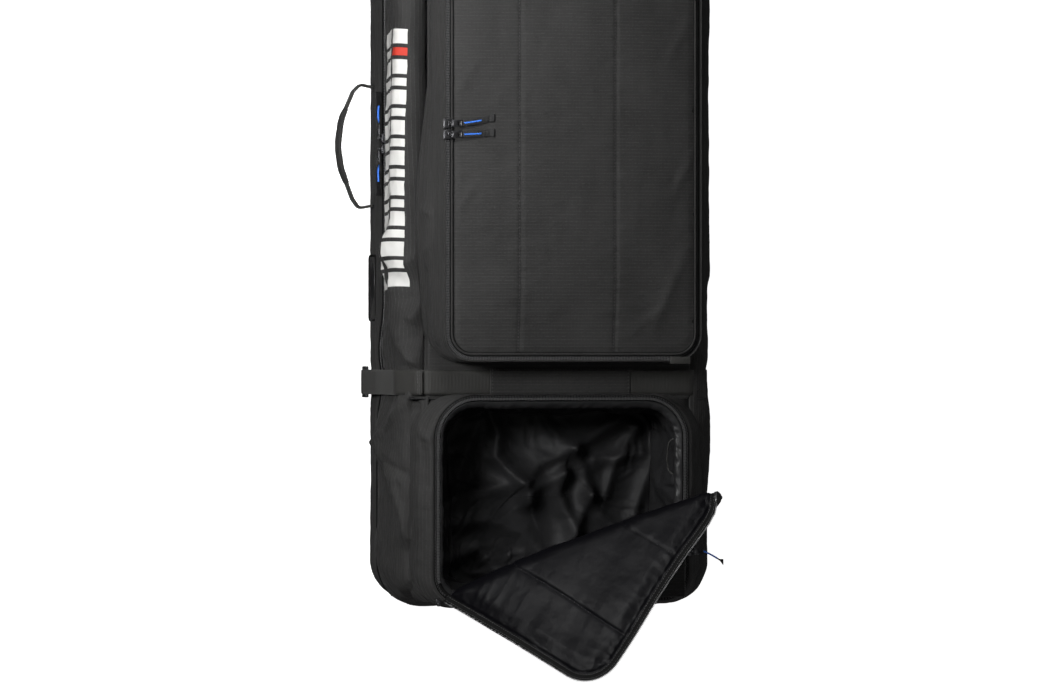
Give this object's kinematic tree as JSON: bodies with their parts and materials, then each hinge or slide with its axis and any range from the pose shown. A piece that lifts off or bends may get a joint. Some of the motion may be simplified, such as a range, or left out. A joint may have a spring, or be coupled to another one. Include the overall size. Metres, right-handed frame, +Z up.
{
  "type": "ski bag",
  "caption": "Long padded bag lying on its back, with a side-zipped lid, a front pocket, a boot compartment with a folded-back flap, straps and handles.",
  "frame": {"origin": "centre of the back panel's underside, on the ground the bag lies on", "axes": "+Y along the bag towards its top end, +X across it towards the lid's hinge side, +Z up out of its front face"},
  "size_m": [0.5476, 1.5653, 0.4742],
  "materials": {
    "outer_fabric": "woven ripstop polyester, matt",
    "lining": "coated nylon lining, semi-gloss",
    "webbing": "ribbed webbing",
    "zipper_tape": "knitted zipper tape",
    "zipper_coil": "nylon coil",
    "hardware": "black coated metal, satin",
    "moulded_plastic": "moulded black plastic",
    "pull_tab": "woven tab with a blue stripe",
    "board": "stiff sheet",
    "foam": "closed-cell padding"
  },
  "bodies": {
    "base": {"back_panel": "outer_fabric", "base_gusset": "outer_fabric", "back_stiffener_board": "board", "base_padding": "foam", "lid_hinge_piping": "outer_fabric", "base_zipper_tape": "zipper_tape", "strap_anchor_loops": "webbing", "strap_fixed_ends": "webbing", "handle_anchors": "webbing", "id_holder": "outer_fabric"},
    "lid": {"lid_zipper_tape": "zipper_tape", "lid_gusset": "outer_fabric", "lid_front_panel": "outer_fabric", "pocket_gusset": "outer_fabric", "pocket_coil_fixed": "zipper_coil", "pocket_hinge_welt": "outer_fabric", "pocket_zipper_end_tabs": "webbing", "boot_rim": "outer_fabric", "boot_floor": "lining", "boot_divider": "lining", "boot_lining": "lining", "boot_rim_hem": "lining", "boot_zipper_fixed": "zipper_coil", "boot_zipper_end_stop": "moulded_plastic", "boot_inner_loop": "webbing", "flap_base_shell": "outer_fabric", "flap_base_quilt": "lining", "compression_strap_lower": "webbing", "compression_strap_upper": "webbing", "strap_sleeve_lower": "outer_fabric", "strap_sleeve_upper": "outer_fabric", "strap_buckle_lower": "hardware", "strap_buckle_upper": "hardware"},
    "pocket_door": {"pocket_coil_door": "zipper_coil", "pocket_door_panel": "outer_fabric"},
    "flap_root": {"flap_root_shell": "outer_fabric", "flap_root_quilt": "lining", "flap_root_tape": "zipper_tape"},
    "flap_tip": {"flap_tip_shell": "outer_fabric", "flap_tip_quilt": "lining", "flap_tip_tape": "zipper_tape"},
    "side_handle": {"side_handle_webbing": "webbing", "side_handle_grip": "outer_fabric"},
    "top_handle": {"top_handle_webbing": "webbing", "top_handle_grip": "outer_fabric"},
    "main_slider_upper": {"main_slider_upper_body": "hardware"},
    "main_slider_upper_pull": {"main_slider_upper_puller": "moulded_plastic", "main_slider_upper_tab": "pull_tab"},
    "main_slider_lower": {"main_slider_lower_body": "hardware"},
    "main_slider_lower_pull": {"main_slider_lower_puller": "moulded_plastic", "main_slider_lower_tab": "pull_tab"},
    "pocket_slider_upper": {"pocket_slider_upper_body": "hardware"},
    "pocket_slider_upper_pull": {"pocket_slider_upper_puller": "moulded_plastic", "pocket_slider_upper_tab": "pull_tab"},
    "pocket_slider_lower": {"pocket_slider_lower_body": "hardware"},
    "pocket_slider_lower_pull": {"pocket_slider_lower_puller": "moulded_plastic", "pocket_slider_lower_tab": "pull_tab"},
    "flap_slider": {"flap_slider_body": "hardware"},
    "flap_slider_pull": {"flap_slider_puller": "moulded_plastic", "flap_slider_tab": "pull_tab"}
  },
  "joints": [
    {"name": "lid_hinge", "type": "hinge", "parent": "base", "child": "lid", "pos_m": [0.24, 0, 0.117], "axis": [0, 1, 0], "range_deg": [0, 115]},
    {"name": "pocket_door_hinge", "type": "hinge", "parent": "lid", "child": "pocket_door", "pos_m": [0.198, 0, 0.333], "axis": [0, -1, 0], "range_deg": [-120, 0]},
    {"name": "flap_fold", "type": "hinge", "parent": "lid", "child": "flap_root", "pos_m": [-0.1895, -0.6925, 0.2765], "axis": [0.9787, 0.2053, 0], "range_deg": [-65, 0]},
    {"name": "flap_tip_fold", "type": "hinge", "parent": "flap_root", "child": "flap_tip", "pos_m": [-0.1895, -0.6925, 0.2765], "axis": [0.8378, 0.3679, 0.4033], "range_deg": [-84.5, 0]},
    {"name": "side_handle_swing", "type": "hinge", "parent": "base", "child": "side_handle", "pos_m": [-0.2465, -0.004, 0.06], "axis": [0, 1, 0], "range_deg": [-45, 45]},
    {"name": "top_handle_swing", "type": "hinge", "parent": "base", "child": "top_handle", "pos_m": [0, 0.7065, 0.06], "axis": [1, 0, 0], "range_deg": [-45, 45]},
    {"name": "main_slider_upper_slide", "type": "slide", "parent": "lid", "child": "main_slider_upper", "axis": [0, 1, 0], "range_m": [0, 0.24]},
    {"name": "main_slider_upper_pull_lift", "type": "hinge", "parent": "main_slider_upper", "child": "main_slider_upper_pull", "pos_m": [-0.2503, 0.00625, 0.117], "axis": [0, 0, 1], "range_deg": [0, 150]},
    {"name": "main_slider_lower_slide", "type": "slide", "parent": "lid", "child": "main_slider_lower", "axis": [0, -1, 0], "range_m": [0, 0.24]},
    {"name": "main_slider_lower_pull_lift", "type": "hinge", "parent": "main_slider_lower", "child": "main_slider_lower_pull", "pos_m": [-0.2503, -0.01025, 0.117], "axis": [0, 0, -1], "range_deg": [0, 150]},
    {"name": "pocket_slider_upper_slide", "type": "slide", "parent": "pocket_door", "child": "pocket_slider_upper", "axis": [0, 1, 0], "range_m": [0, 0.25]},
    {"name": "pocket_slider_upper_pull_lift", "type": "hinge", "parent": "pocket_slider_upper", "child": "pocket_slider_upper_pull", "pos_m": [-0.196, 0.02075, 0.3397], "axis": [0, -1, 0], "range_deg": [0, 150]},
    {"name": "pocket_slider_lower_slide", "type": "slide", "parent": "pocket_door", "child": "pocket_slider_lower", "axis": [0, -1, 0], "range_m": [0, 0.25]},
    {"name": "pocket_slider_lower_pull_lift", "type": "hinge", "parent": "pocket_slider_lower", "child": "pocket_slider_lower_pull", "pos_m": [-0.196, 0.00425, 0.3397], "axis": [0, -1, 0], "range_deg": [0, 150]},
    {"name": "flap_slider_slide", "type": "slide", "parent": "lid", "child": "flap_slider", "axis": [0, 1, 0], "range_m": [0, 0.16]},
    {"name": "flap_slider_pull_lift", "type": "hinge", "parent": "flap_slider", "child": "flap_slider_pull", "pos_m": [0.197, -0.622, 0.2837], "axis": [0, -1, 0], "range_deg": [0, 150]}
  ],
  "couplings": [
    {"joint": "flap_tip_fold", "follows": "flap_fold", "ratio": 1.3}
  ]
}
